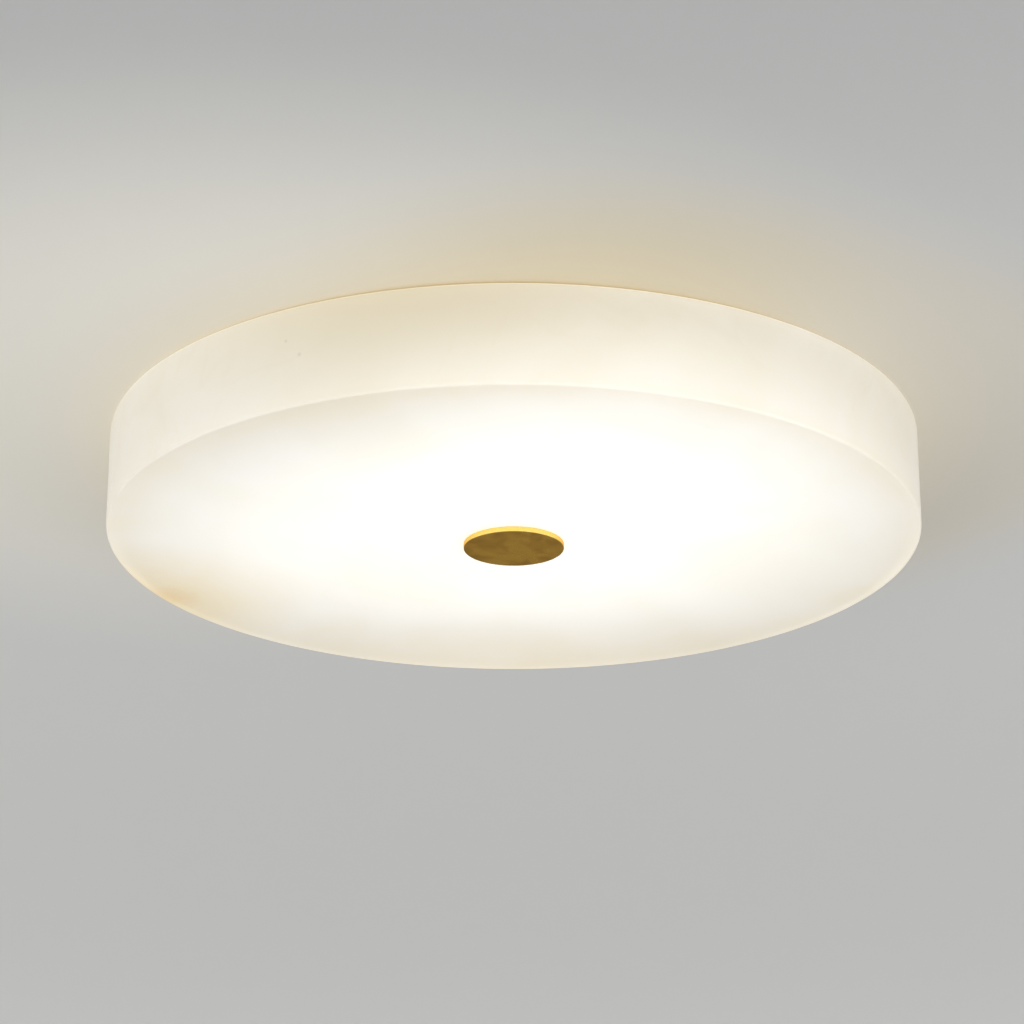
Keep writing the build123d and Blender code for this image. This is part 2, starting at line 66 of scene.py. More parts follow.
# Sizes in metres that the nodes' boxes don't give, the same as the model's
SHADE_WALL = 12 * MM
SHADE_HOLE_R = 9.1 * MM
FINIAL_GAP = 0.3 * MM
RECESS_UNDER_STONE = 1.0 * MM
RECESS_R = 26.3 * MM
BOSS_R = 7.1 * MM
BORE_R = 5.1 * MM
ROD_END_GAP = 0.4 * MM
ROD_PITCH = 1.0 * MM
STUD_R = 2.0 * MM
STUD_PITCH = 0.7 * MM
STUD_FLANGE_THICK = 0.9 * MM
SCREW_R = 1.5 * MM
SCREW_PITCH = 0.5 * MM
SCREW_HEAD_R = 2.8 * MM
SCREW_HEAD_HIGH = 1.8 * MM
CHIP_SIZE = (3.5 * MM, 2.8 * MM, 0.8 * MM)
CHIP_ROWS = (133 * MM, 113 * MM, 93 * MM, 73 * MM)
CHIP_SPACING = 14 * MM
CHIP_FROM_END = 15 * MM
PLUG_SIZE = (7 * MM, 8 * MM, 4 * MM)
PLUG_OUT = 51 * MM
PLUG_ASIDE = 18 * MM

# Each board's screws: distance from the axis, and turn in degrees from the board's middle
BOARD_SCREWS = ((46 * MM, 0), (141 * MM, -29), (141 * MM, 29))

# Painted glow of the lit stone over the lamps: it is full near its middle and ends at a distance from it, in
# which a step along X and a step up the wall count for less than a step along Y
LAMPS_MIDDLE = (0.001, -0.0114, SHADE_BOTTOM)
LAMPS_STRETCH = (0.80, 1.0, 0.0)
LAMPS_RISE = 0.49
LAMPS_FULL = 0.02
LAMPS_END = 0.2867

# Soft patches in the stone, as middle, stretch and end: its painted glow at the foot of the near wall, along
# the far edge and on the back of the wall, and a painted shade under the rim, a creamier patch on the near
# wall
FOOT_PATCH = ((0.075, -0.205, SHADE_BOTTOM + 6 * MM), (1.0, 1.0, 5.0), 0.265)
FAR_PATCH = ((0.0, 0.27, SHADE_BOTTOM), (0.5, 1.0, 4.0), 0.12)
BACK_PATCH = ((0.0, 0.24, SHADE_BOTTOM + 4 * MM), (0.7, 1.0, 2.0), 0.26)
NEAR_RIM_SHADE_PATCH = ((-0.07, -SHADE_R, SHADE_RIM), (0.85, 0.85, 2.2), 0.17)

# Strengths of the stone's painted glow, and of the painted highlight on its far lip
PLAIN_GLOW = 0.067
UNDER_GLOW = 0.095
LAMPS_GLOW = 0.42
FOOT_GLOW = 0.165
FAR_GLOW = 0.075
BACK_GLOW = 0.20
LIP_HIGHLIGHT = 0.10
RIM_GLOW = 0.25

# How far each part of the painted glow goes from cream to white
LAMPS_WHITE = 2.4
FOOT_WHITE = 0.6
RIM_WHITE = 2.6
CORNER_WHITE = -0.3

# The amber stain at the stone's lower edge, and dark specks in its wall: turn in degrees, height above the
# lower edge and size
STAIN_TURN = 156
SPECKS = (
    (239.3, 41 * MM, 1.3 * MM),
    (241.4, 31 * MM, 1.7 * MM),
    (41, 22 * MM, 1.8 * MM),
    (118, 45 * MM, 1.5 * MM),
)

# Stage in metres, and the camera, fitted to the photo: its place in metres, its tilt above level in degrees
# and its sensor and lens in millimetres
CEILING_HOLE_R = 210.3 * MM
CEILING_R = 4.0
CEILING_HEIGHT = 0.2 * MM
FLOOR_HOLE_R = 1 * MM
FLOOR_R = 2.2
FLOOR_HEIGHT = -2.4
CAMERA_PLACE = (-0.0011, -1.875, -0.7571)
CAMERA_TILT = 20.896
CAMERA_SENSOR = 36.0
CAMERA_LENS = 113.9


def around(radius, turn):
    """X and Y at a radius and a turn in degrees."""
    return radius * cos(radians(turn)), radius * sin(radians(turn))


# Shader nodes


def linear(hex_colour):
    """Linear colour of an sRGB hex value."""
    channels = [int(hex_colour[start : start + 2], 16) / 255 for start in (1, 3, 5)]
    bent = [((value + 0.055) / 1.055) ** 2.4 if value > 0.04045 else value / 12.92 for value in channels]
    return (*bent, 1.0)


def add(tree, kind, inputs=None, **settings):
    """Adds a node with its settings; a socket among the inputs is linked, a value is set. A MapRange takes
    the range that it reads at 1 and 2 and the range that it gives at 3 and 4. A Mix of colours takes its
    share at 0 and its colours at 6 and 7, and gives its result at 2."""
    node = tree.nodes.new("ShaderNode" + kind)
    for name, value in settings.items():
        setattr(node, name, value)
    for key, value in (inputs or {}).items():
        if isinstance(value, bpy.types.NodeSocket):
            tree.links.new(value, node.inputs[key])
        else:
            node.inputs[key].default_value = value
    return node.outputs


def finish(name):
    """A new material: its tree, its shader and its object coordinates."""
    material = bpy.data.materials.new(name)
    material.use_nodes = True
    tree = material.node_tree
    place = add(tree, "TexCoord")["Object"]
    return material, tree, tree.nodes["Principled BSDF"].inputs, place


def link_finish(tree, shader, colour, rough, bump):
    """Gives a shader its colour, its roughness and its bump."""
    tree.links.new(colour, shader["Base Color"])
    tree.links.new(rough, shader["Roughness"])
    tree.links.new(bump, shader["Normal"])


def per(size_mm):
    """Texture scale for a feature of a size in millimetres."""
    return 1 / (size_mm * MM)


def from_axis(tree, place):
    """Distance of a point from the light's axis."""
    split = add(tree, "SeparateXYZ", {0: place})
    flat = add(tree, "CombineXYZ", {0: split["X"], 1: split["Y"]})[0]
    return add(tree, "VectorMath", {0: flat}, operation="LENGTH")["Value"]


def soft_patch(tree, place, middle, stretch, end):
    """Soft round patch: 1 at its middle and 0 at its end, narrower along an axis by that axis's stretch."""
    away = add(tree, "VectorMath", {0: place, 1: middle}, operation="SUBTRACT")[0]
    stretched = add(tree, "VectorMath", {0: away, 1: stretch}, operation="MULTIPLY")[0]
    far = add(tree, "VectorMath", {0: stretched}, operation="LENGTH")["Value"]
    return add(tree, "MapRange", {"Value": far, 1: end, 2: 0.0}, interpolation_type="SMOOTHSTEP")[0]


# Finishes


def stone_colour(tree, place):
    """Colour of the stone, with its clouds and its grain, which the sheen follows."""
    # Clouds of about 90 mm, sugar grain drawn at 5 mm so that it shows, and faint veins
    cloud_inputs = {"Vector": place, "Scale": per(90), "Detail": 5.0, "Distortion": 0.8}
    clouds = add(tree, "TexNoise", cloud_inputs)["Fac"]
    cloud = add(tree, "MapRange", {"Value": clouds, 1: 0.38, 2: 0.66}, interpolation_type="SMOOTHSTEP")[0]
    grain = add(tree, "TexNoise", {"Vector": place, "Scale": per(5), "Detail": 3.0})["Fac"]
    vein_inputs = {"Vector": place, "Scale": per(140), "Detail": 4.0, "Distortion": 1.6}
    vein_noise = add(tree, "TexNoise", vein_inputs)["Fac"]
    vein_gap = add(tree, "Math", {0: vein_noise, 1: 0.5}, operation="SUBTRACT")[0]
    vein_side = add(tree, "Math", {0: vein_gap}, operation="ABSOLUTE")[0]
    vein = add(tree, "MapRange", {"Value": vein_side, 1: 0.025, 2: 0.0, 3: 0.0, 4: 0.06})[0]

    # The amber stain, wide and faint with a small core, and uneven with the grain
    stain_spot = (*around(0.98 * SHADE_R, STAIN_TURN), SHADE_BOTTOM)
    stain_away = add(tree, "VectorMath", {0: place, 1: stain_spot}, operation="DISTANCE")["Value"]
    stain_far = add(tree, "Math", {0: grain, 1: 16 * MM, 2: stain_away}, operation="MULTIPLY_ADD")[0]
    stain = add(tree, "MapRange", {"Value": stain_far, 1: 105 * MM, 2: 10 * MM, 3: 0.0, 4: 0.46})[0]
    stain_core = add(tree, "MapRange", {"Value": stain_far, 1: 34 * MM, 2: 10 * MM, 3: 0.0, 4: 0.26})[0]

    speck = 0.0
    for turn, up, size in SPECKS:
        spot = (*around(SHADE_R, turn), SHADE_BOTTOM + up)
        away = add(tree, "VectorMath", {0: place, 1: spot}, operation="DISTANCE")["Value"]
        dot = add(tree, "MapRange", {"Value": away, 1: size, 2: 0.2 * size, 3: 0.0, 4: 0.18})[0]
        speck = add(tree, "Math", {0: speck, 1: dot}, operation="ADD")[0]

    # Painted shade under the rim: a creamier patch on the near wall, where less of the lamps' light falls
    near_rim_shade = soft_patch(tree, place, *NEAR_RIM_SHADE_PATCH)
    colour = add(tree, "Mix", {0: cloud, 6: linear("#F1EFE9"), 7: linear("#EEEBE2")}, data_type="RGBA")[2]
    layers = (
        (vein, "#D8CBB0"),
        (near_rim_shade, "#E5DECA"),
        (stain, "#EBD69A"),
        (stain_core, "#DDB066"),
        (speck, "#7A6C48"),
    )
    for share, layer in layers:
        colour = add(tree, "Mix", {0: share, 6: colour, 7: linear(layer)}, data_type="RGBA")[2]
    return colour, clouds, grain


def stone_glow(tree, place):
    """Painted glow of the stone: its strength, and its share of white."""
    # Painted glow over the lamps, where it hardly changes up the wall
    from_lamps = add(tree, "VectorMath", {0: place, 1: LAMPS_MIDDLE}, operation="SUBTRACT")[0]
    up = add(tree, "SeparateXYZ", {0: from_lamps})["Z"]
    across = add(tree, "VectorMath", {0: from_lamps, 1: LAMPS_STRETCH}, operation="MULTIPLY")[0]
    across_far = add(tree, "VectorMath", {0: across}, operation="LENGTH")["Value"]
    lamps_far = add(tree, "Math", {0: up, 1: LAMPS_RISE, 2: across_far}, operation="MULTIPLY_ADD")[0]
    lamps_range = {"Value": lamps_far, 1: LAMPS_END, 2: LAMPS_FULL}
    lamps = add(tree, "MapRange", lamps_range, interpolation_type="SMOOTHSTEP")[0]

    # Painted glow at the foot of the wall and the far edge, where it fades quickly upwards, and over the rim
    foot = soft_patch(tree, place, *FOOT_PATCH)
    far = soft_patch(tree, place, *FAR_PATCH)
    rim_up = SHADE_RIM - SHADE_BOTTOM
    rim = add(tree, "MapRange", {"Value": up, 1: rim_up - 1.2 * MM, 2: rim_up - 0.4 * MM, 4: RIM_GLOW})[0]

    # Painted glow on the wall, with more at the back, and on the underside, with a painted highlight on the
    # lip at the far edge
    back = soft_patch(tree, place, *BACK_PATCH)
    wall = add(tree, "Math", {0: back, 1: BACK_GLOW, 2: PLAIN_GLOW}, operation="MULTIPLY_ADD")[0]
    radius = from_axis(tree, place)
    lip_ring = add(tree, "MapRange", {"Value": radius, 1: SHADE_R - 8 * MM, 2: SHADE_R - 4 * MM})[0]
    depth = add(tree, "SeparateXYZ", {0: place})["Y"]
    lip_side = add(tree, "MapRange", {"Value": depth, 1: -60 * MM, 2: 60 * MM, 3: 0.0, 4: LIP_HIGHLIGHT})[0]
    lip_highlight = add(tree, "Math", {0: lip_ring, 1: lip_side}, operation="MULTIPLY")[0]
    under = add(tree, "Math", {0: lip_highlight, 1: PLAIN_GLOW + UNDER_GLOW}, operation="ADD")[0]
    plain_range = {"Value": up, 1: 0.6 * MM, 2: 0.0, 3: wall, 4: under}
    plain = add(tree, "MapRange", plain_range, interpolation_type="SMOOTHSTEP")[0]

    strength = add(tree, "Math", {0: rim, 1: plain}, operation="ADD")[0]
    for patch, share in ((lamps, LAMPS_GLOW), (far, FAR_GLOW), (foot, FOOT_GLOW)):
        strength = add(tree, "Math", {0: patch, 1: share, 2: strength}, operation="MULTIPLY_ADD")[0]

    # The painted glow is creamier where the wall meets the floor, where the stone is thicker
    corner_ring = add(tree, "MapRange", {"Value": radius, 1: SHADE_R - 30 * MM, 2: SHADE_R - 8 * MM})[0]
    corner_up = add(tree, "MapRange", {"Value": up, 1: 10 * MM, 2: 2 * MM})[0]
    corner = add(tree, "Math", {0: corner_ring, 1: corner_up}, operation="MULTIPLY")[0]
    white = add(tree, "Math", {0: rim, 1: RIM_WHITE}, operation="MULTIPLY")[0]
    for patch, share in ((lamps, LAMPS_WHITE), (corner, CORNER_WHITE)):
        white = add(tree, "Math", {0: patch, 1: share, 2: white}, operation="MULTIPLY_ADD")[0]
    white = add(tree, "Math", {0: foot, 1: FOOT_WHITE, 2: white}, operation="MULTIPLY_ADD", use_clamp=True)[0]
    return strength, white


def honed_alabaster():
    """Alabaster, turned from the block and honed: cloudy warm white with a soft sheen. Its glow is painted by
    place, standing for the lamps' light spread in the stone: white over them and on the foot of the wall, and
    creamy elsewhere."""
    material, tree, shader, place = finish("honed_alabaster")
    colour, clouds, grain = stone_colour(tree, place)
    strength, white = stone_glow(tree, place)
    warmth = add(tree, "Mix", {0: white, 6: linear("#FFEABC"), 7: linear("#FFFDFC")}, data_type="RGBA")[2]
    tint = add(tree, "Mix", {0: 1.0, 6: warmth, 7: colour}, data_type="RGBA", blend_type="MULTIPLY")[2]
    rough = add(tree, "MapRange", {"Value": clouds, 1: 0.3, 2: 0.7, 3: 0.40, 4: 0.48})[0]
    bump = add(tree, "Bump", {"Strength": 0.08, "Distance": 0.2 * MM, "Height": grain})[0]
    link_finish(tree, shader, colour, rough, bump)
    tree.links.new(tint, shader["Emission Color"])
    tree.links.new(strength, shader["Emission Strength"])
    shader["IOR"].default_value = 1.52
    shader["Transmission Weight"].default_value = 0.12
    return material


def satin_brass():
    """Brass, turned and satin finished under lacquer: fine rings from the lathe, an uneven sheen on the face
    and a painted highlight on the rim, for the stone's light falling on it."""
    material, tree, shader, place = finish("satin_brass")
    # Lathe rings of 0.3 mm, drawn at 0.9 mm so that they show
    rings = add(
        tree,
        "TexWave",
        {"Vector": place, "Scale": 2 * pi * per(0.9) / 20, "Distortion": 0.4, "Detail": 1.0},
        wave_type="RINGS",
        rings_direction="Z",
    )["Fac"]
    # Tarnish under the lacquer, in soft patches of about 22 mm
    patch_inputs = {"Vector": place, "Scale": per(22), "Detail": 2.0, "Distortion": 0.6}
    patch = add(tree, "TexNoise", patch_inputs)["Fac"]
    tarnish = add(tree, "MapRange", {"Value": patch, 1: 0.36, 2: 0.66}, interpolation_type="SMOOTHSTEP")[0]
    dull = add(tree, "Mix", {0: tarnish, 6: linear("#E2B95C"), 7: linear("#C29A4C")}, data_type="RGBA")[2]
    # Painted highlight: the rim's outer edge in a brighter yellow, for the stone's light on it
    radius = from_axis(tree, place)
    rim_highlight = add(tree, "MapRange", {"Value": radius, 1: FINIAL_R - 0.5 * MM, 2: FINIAL_R - 0.1 * MM})[0]
    colour = add(tree, "Mix", {0: rim_highlight, 6: dull, 7: linear("#F5CE6E")}, data_type="RGBA")[2]
    rough = add(tree, "MapRange", {"Value": patch, 1: 0.3, 2: 0.7, 3: 0.24, 4: 0.38})[0]
    bump = add(tree, "Bump", {"Strength": 0.10, "Distance": 0.02 * MM, "Height": rings})[0]
    link_finish(tree, shader, colour, rough, bump)
    shader["Metallic"].default_value = 1.0
    shader["Specular Tint"].default_value = linear("#F2D2B4")
    return material


def zinc_plate():
    """Steel, bright zinc plated: cool grey with a faint bloom."""
    material, tree, shader, place = finish("bright_zinc_plate")
    bloom = add(tree, "TexNoise", {"Vector": place, "Scale": per(7), "Detail": 4.0, "Distortion": 0.4})["Fac"]
    grit = add(tree, "TexNoise", {"Vector": place, "Scale": per(0.6), "Detail": 2.0})["Fac"]
    colour = add(tree, "Mix", {0: bloom, 6: linear("#B9BEC3"), 7: linear("#CFCDC6")}, data_type="RGBA")[2]
    rough = add(tree, "MapRange", {"Value": bloom, 1: 0.3, 2: 0.7, 3: 0.30, 4: 0.42})[0]
    bump = add(tree, "Bump", {"Strength": 0.12, "Distance": 0.05 * MM, "Height": grit})[0]
    link_finish(tree, shader, colour, rough, bump)
    shader["Metallic"].default_value = 1.0
    return material


def powder_coat():
    """Pressed steel under white powder coat: a low gloss with a slight orange peel."""
    material, tree, shader, place = finish("white_powder_coat")
    # Orange peel of 1.2 mm, drawn at 2 mm so that it shows
    peel = add(tree, "TexNoise", {"Vector": place, "Scale": per(2), "Detail": 2.0, "Roughness": 0.4})["Fac"]
    patch = add(tree, "TexNoise", {"Vector": place, "Scale": per(60), "Detail": 3.0})["Fac"]
    colour = add(tree, "Mix", {0: patch, 6: linear("#EEEDE8"), 7: linear("#E6E5DF")}, data_type="RGBA")[2]
    rough = add(tree, "MapRange", {"Value": patch, 1: 0.3, 2: 0.7, 3: 0.40, 4: 0.50})[0]
    bump = add(tree, "Bump", {"Strength": 0.12, "Distance": 0.15 * MM, "Height": peel})[0]
    link_finish(tree, shader, colour, rough, bump)
    return material


def solder_mask():
    """Aluminium circuit board under white solder mask: a clean semi-gloss white over raised tracks."""
    material, tree, shader, place = finish("white_solder_mask")
    # Tracks of about 9 mm along every second row of lamps
    row_pitch = 20 * MM
    bare_ring = 13 * MM
    ring = add(tree, "Math", {0: from_axis(tree, place), 1: bare_ring}, operation="SUBTRACT")[0]
    beside = add(tree, "Math", {0: ring, 1: row_pitch}, operation="PINGPONG")[0]
    track = add(tree, "MapRange", {"Value": beside, 1: 15.2 * MM, 2: 15.6 * MM})[0]
    grit = add(tree, "TexNoise", {"Vector": place, "Scale": per(0.8), "Detail": 2.0})["Fac"]
    colour = add(tree, "Mix", {0: track, 6: linear("#EFEFEB"), 7: linear("#E4E3DB")}, data_type="RGBA")[2]
    lift = add(tree, "Bump", {"Strength": 0.5, "Distance": 0.05 * MM, "Height": track})[0]
    bump = add(tree, "Bump", {"Strength": 0.06, "Distance": 0.03 * MM, "Height": grit, "Normal": lift})[0]
    tree.links.new(colour, shader["Base Color"])
    tree.links.new(bump, shader["Normal"])
    shader["Roughness"].default_value = 0.38
    return material


def chip_phosphor():
    """Phosphor under clear silicone, lit: a warm yellow window with a fine grain."""
    material, tree, shader, place = finish("lit_phosphor")
    grain = add(tree, "TexNoise", {"Vector": place, "Scale": per(0.4), "Detail": 2.0})["Fac"]
    colour = add(tree, "Mix", {0: grain, 6: linear("#F3CF5E"), 7: linear("#F8E08A")}, data_type="RGBA")[2]
    tree.links.new(colour, shader["Base Color"])
    shader["Roughness"].default_value = 0.2
    shader["Emission Color"].default_value = linear("#FFE2A6")
    shader["Emission Strength"].default_value = 3.0
    return material


def moulded(name, dark, light, rough_low, rough_high, grain_mm):
    """Moulded plastic or rubber: a matt skin with a fine grain and a slight change of shade."""
    material, tree, shader, place = finish(name)
    shade = add(tree, "TexNoise", {"Vector": place, "Scale": per(18), "Detail": 3.0})["Fac"]
    grain = add(tree, "TexNoise", {"Vector": place, "Scale": per(grain_mm), "Detail": 2.0})["Fac"]
    colour = add(tree, "Mix", {0: shade, 6: linear(dark), 7: linear(light)}, data_type="RGBA")[2]
    rough = add(tree, "MapRange", {"Value": shade, 1: 0.3, 2: 0.7, 3: rough_low, 4: rough_high})[0]
    bump = add(tree, "Bump", {"Strength": 0.15, "Distance": 0.06 * MM, "Height": grain})[0]
    link_finish(tree, shader, colour, rough, bump)
    return material


def clear_silicone():
    """Cut silicone sheet: milky, soft and slightly see-through."""
    material = moulded("milky_silicone", "#D9DAD6", "#E6E6E1", 0.36, 0.48, 0.8)
    shader = material.node_tree.nodes["Principled BSDF"].inputs
    shader["IOR"].default_value = 1.41
    shader["Transmission Weight"].default_value = 0.45
    return material


def insulation(name, dark, light):
    """Extruded insulation of a lead."""
    return moulded(name, dark, light, 0.36, 0.46, 0.6)


def striped_insulation():
    """Earth insulation, extruded in two colours: yellow along the upper side of a green sheath."""
    material = insulation("green_yellow_pvc", "#2F7A36", "#3A8A3F")
    tree = material.node_tree
    shader = tree.nodes["Principled BSDF"].inputs
    green = shader["Base Color"].links[0].from_socket
    facing = add(tree, "NewGeometry")["Normal"]
    side = add(tree, "VectorMath", {0: facing, 1: (0.0, 0.35, 0.94)}, operation="DOT_PRODUCT")["Value"]
    stripe = add(tree, "MapRange", {"Value": side, 1: 0.50, 2: 0.56})[0]
    colour = add(tree, "Mix", {0: stripe, 6: green, 7: linear("#E3C62C")}, data_type="RGBA")[2]
    tree.links.new(colour, shader["Base Color"])
    return material


def terminal_brass():
    """Brass bar, turned bright and left bare: yellow with fine tool marks and a little tarnish."""
    material, tree, shader, place = finish("bright_turned_brass")
    tarnish = add(tree, "TexNoise", {"Vector": place, "Scale": per(5), "Detail": 4.0})["Fac"]
    marks = add(tree, "TexNoise", {"Vector": place, "Scale": per(0.5), "Detail": 2.0})["Fac"]
    colour = add(tree, "Mix", {0: tarnish, 6: linear("#D9B868"), 7: linear("#C29F55")}, data_type="RGBA")[2]
    rough = add(tree, "MapRange", {"Value": tarnish, 1: 0.3, 2: 0.7, 3: 0.22, 4: 0.36})[0]
    bump = add(tree, "Bump", {"Strength": 0.10, "Distance": 0.03 * MM, "Height": marks})[0]
    link_finish(tree, shader, colour, rough, bump)
    shader["Metallic"].default_value = 1.0
    return material


FINISHES = {
    "alabaster": honed_alabaster(),
    "brass": satin_brass(),
    "zinc_steel": zinc_plate(),
    "white_steel": powder_coat(),
    "board_white": solder_mask(),
    "chip_phosphor": chip_phosphor(),
    "rubber_grey": moulded("grommet_rubber", "#4A4A49", "#575756", 0.62, 0.78, 0.7),
    "silicone_clear": clear_silicone(),
    "nylon_white": moulded("natural_nylon", "#E7E3D6", "#EFECE2", 0.38, 0.50, 0.9),
    "driver_white": moulded("driver_polycarbonate", "#E4E4E1", "#ECECEA", 0.46, 0.58, 0.7),
    "terminal_brass": terminal_brass(),
    "lead_brown": insulation("brown_pvc", "#4E2A18", "#5C3420"),
    "lead_blue": insulation("blue_pvc", "#24508F", "#2D5FA6"),
    "lead_green_yellow": striped_insulation(),
    "lead_red": insulation("red_pvc", "#A5221B", "#B52C22"),
    "lead_black": insulation("black_pvc", "#191919", "#242424"),
}
PACKAGE = moulded("chip_package", "#E9E9E4", "#F1F1EC", 0.40, 0.50, 0.4)

for row in frame["record"]["subparts"]:
    for material_slot in frame["nodes"][row["node"]].material_slots:
        material_slot.material = FINISHES[row["material_slot"]]


# New pieces


def put(name, mesh, materials):
    """Puts a finished bmesh in the scene as an object."""
    data = bpy.data.meshes.new(name)
    mesh.to_mesh(data)
    mesh.free()
    for material in materials:
        data.materials.append(material)
    made = bpy.data.objects.new(name, data)
    bpy.context.scene.collection.objects.link(made)
    return made


def piece(name, mesh, body, slot, replaced, materials=None):
    """Puts a finished bmesh in the scene as a piece that rides on a body and stands for a node."""
    made = put(name, mesh, materials or [FINISHES[slot]])
    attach(made, body)
    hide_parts(replaced)


def spun(outline, steps):
    """Bmesh turned about Z from (radius, height) points, which close on themselves or end on the axis."""
    mesh = bmesh.new()
    points = [mesh.verts.new((radius, 0, height)) for radius, height in outline]
    edges = [mesh.edges.new(ends) for ends in zip(points, points[1:])]
    if outline[0][0] > 0:
        edges.append(mesh.edges.new((points[-1], points[0])))
    bmesh.ops.spin(
        mesh, geom=points + edges, axis=(0, 0, 1), cent=(0, 0, 0), angle=2 * pi, steps=steps, use_merge=True
    )
    bmesh.ops.remove_doubles(mesh, verts=mesh.verts, dist=0.001 * MM)
    bmesh.ops.recalc_face_normals(mesh, faces=mesh.faces)
    return mesh


def bevel(mesh, edges, offset, segments):
    """Rounds edges, or chamfers them with one segment."""
    bmesh.ops.bevel(
        mesh, geom=edges, offset=offset, segments=segments, profile=0.5, affect="EDGES", material=-1
    )


def round_rim(mesh, radius, height, rounding, segments):
    """Rounds the circular edge at a radius and a height."""
    near = 0.02 * MM
    chosen = []
    for edge in mesh.edges:
        if all(abs(end.co.xy.length - radius) < near for end in edge.verts):
            if all(abs(end.co.z - height) < near for end in edge.verts):
                chosen.append(edge)
    bevel(mesh, chosen, rounding, segments)


def smooth_all_but_flats(mesh):
    """Shades every face smooth but the ones square to Z, which stay flat."""
    for face in mesh.faces:
        face.normal_update()
        face.smooth = abs(face.normal.z) < 0.9999


def make_shade():
    """The stone drum: wall, floor, centre hole, eased edges and the cove inside."""
    inner = SHADE_R - SHADE_WALL
    floor = SHADE_BOTTOM + SHADE_WALL
    step = 3 * MM
    lower_ease = 1.5 * MM
    rim_ease = 1.0 * MM
    cove = 8.0 * MM
    hole_ease = 0.4 * MM
    mesh = spun(
        [
            (SHADE_HOLE_R, SHADE_BOTTOM),
            (SHADE_R, SHADE_BOTTOM),
            (SHADE_R, SHADE_BOTTOM + step),
            (SHADE_R, SHADE_RIM - step),
            (SHADE_R, SHADE_RIM),
            (inner, SHADE_RIM),
            (inner, SHADE_RIM - step),
            (inner, floor + 4 * step),
            (inner, floor),
            (SHADE_HOLE_R, floor),
        ],
        256,
    )
    round_rim(mesh, SHADE_R, SHADE_BOTTOM, lower_ease, 6)
    round_rim(mesh, SHADE_R, SHADE_RIM, rim_ease, 4)
    round_rim(mesh, inner, SHADE_RIM, rim_ease, 4)
    round_rim(mesh, inner, floor, cove, 8)
    round_rim(mesh, SHADE_HOLE_R, SHADE_BOTTOM, hole_ease, 2)
    smooth_all_but_flats(mesh)
    piece("stone_drum", mesh, "shade", "alabaster", "alabaster_shade")


def make_finial():
    """The brass disc: a thin rim with eased edges, the gasket's recess and the boss up the bush."""
    disc_top = SHADE_BOTTOM - FINIAL_GAP
    recess = SHADE_BOTTOM - RECESS_UNDER_STONE
    bore_floor = rod_low.z - ROD_END_GAP
    rim_ease = 0.5 * MM
    boss_ease = 0.4 * MM
    mesh = spun(
        [
            (0, FINIAL_FACE),
            (FINIAL_R, FINIAL_FACE),
            (FINIAL_R, disc_top),
            (RECESS_R, disc_top),
            (RECESS_R, recess),
            (BOSS_R, recess),
            (BOSS_R, BOSS_TOP),
            (BORE_R, BOSS_TOP),
            (BORE_R, bore_floor),
            (0, bore_floor),
        ],
        192,
    )
    round_rim(mesh, FINIAL_R, FINIAL_FACE, rim_ease, 4)
    round_rim(mesh, FINIAL_R, disc_top, rim_ease, 4)
    round_rim(mesh, BOSS_R, BOSS_TOP, boss_ease, 2)
    smooth_all_but_flats(mesh)
    piece("brass_finial", mesh, "finial", "brass", "finial")


def threaded_bar(radius, pitch, low, high, steps):
    """Bmesh of a bar with a rolled right-hand thread: one tooth is swept up a helix, its turns are joined,
    and the ends are cut square and eased."""
    thread_deep = 0.61 * pitch
    root = radius - thread_deep
    end_r = 0.97 * root
    # The tooth's outline: its radius, and its way along one pitch
    tooth = ((root, 0), (root, 0.25), (radius, 0.5625), (radius, 0.6875), (root, 1))
    turns = ceil((high - low) / pitch) + 3
    mesh = bmesh.new()
    points = [mesh.verts.new((reach, 0, low + (along - 2) * pitch)) for reach, along in tooth]
    edges = [mesh.edges.new(ends) for ends in zip(points, points[1:])]
    bmesh.ops.spin(
        mesh,
        geom=points + edges,
        axis=(0, 0, 1),
        cent=(0, 0, 0),
        dvec=(0, 0, pitch / steps),
        angle=2 * pi * turns,
        steps=steps * turns,
    )
    bmesh.ops.remove_doubles(mesh, verts=mesh.verts, dist=0.01 * pitch)
    for height, outward in ((low, -1), (high, 1)):
        everything = mesh.verts[:] + mesh.edges[:] + mesh.faces[:]
        bmesh.ops.bisect_plane(
            mesh, geom=everything, plane_co=(0, 0, height), plane_no=(0, 0, outward), clear_outer=True
        )
    bmesh.ops.dissolve_degenerate(mesh, edges=mesh.edges, dist=0.005 * MM)
    bmesh.ops.holes_fill(mesh, edges=[edge for edge in mesh.edges if edge.is_boundary], sides=0)
    for vert in mesh.verts:
        room = end_r + min(vert.co.z - low, high - vert.co.z)
        if vert.co.xy.length > room:
            vert.co.xy *= room / vert.co.xy.length
    bmesh.ops.recalc_face_normals(mesh, faces=mesh.faces)
    for face in mesh.faces:
        face.smooth = len(face.verts) < 5
    for edge in mesh.edges:
        edge.smooth = edge.calc_face_angle(0) < radians(30)
    return mesh


def joined(mesh, other):
    """Adds a second finished bmesh to the first one."""
    data = bpy.data.meshes.new("joined")
    other.to_mesh(data)
    other.free()
    mesh.from_mesh(data)
    bpy.data.meshes.remove(data)
    return mesh


def copies(mesh, places):
    """Puts copies of a finished bmesh at places in XY, each with a turn about Z in radians."""
    made = bmesh.new()
    data = bpy.data.meshes.new("copied")
    mesh.to_mesh(data)
    mesh.free()
    for x, y, turn in places:
        before = set(made.verts)
        made.from_mesh(data)
        added = [vert for vert in made.verts if vert not in before]
        bmesh.ops.rotate(made, verts=added, cent=(0, 0, 0), matrix=Matrix.Rotation(turn, 3, "Z"))
        bmesh.ops.translate(made, verts=added, vec=(x, y, 0))
    bpy.data.meshes.remove(data)
    return made


def make_rod():
    """The threaded centre rod."""
    mesh = threaded_bar(rod_high.x, ROD_PITCH, rod_low.z, rod_high.z, 24)
    piece("threaded_rod", mesh, "ceiling_frame", "zinc_steel", "centre_rod")


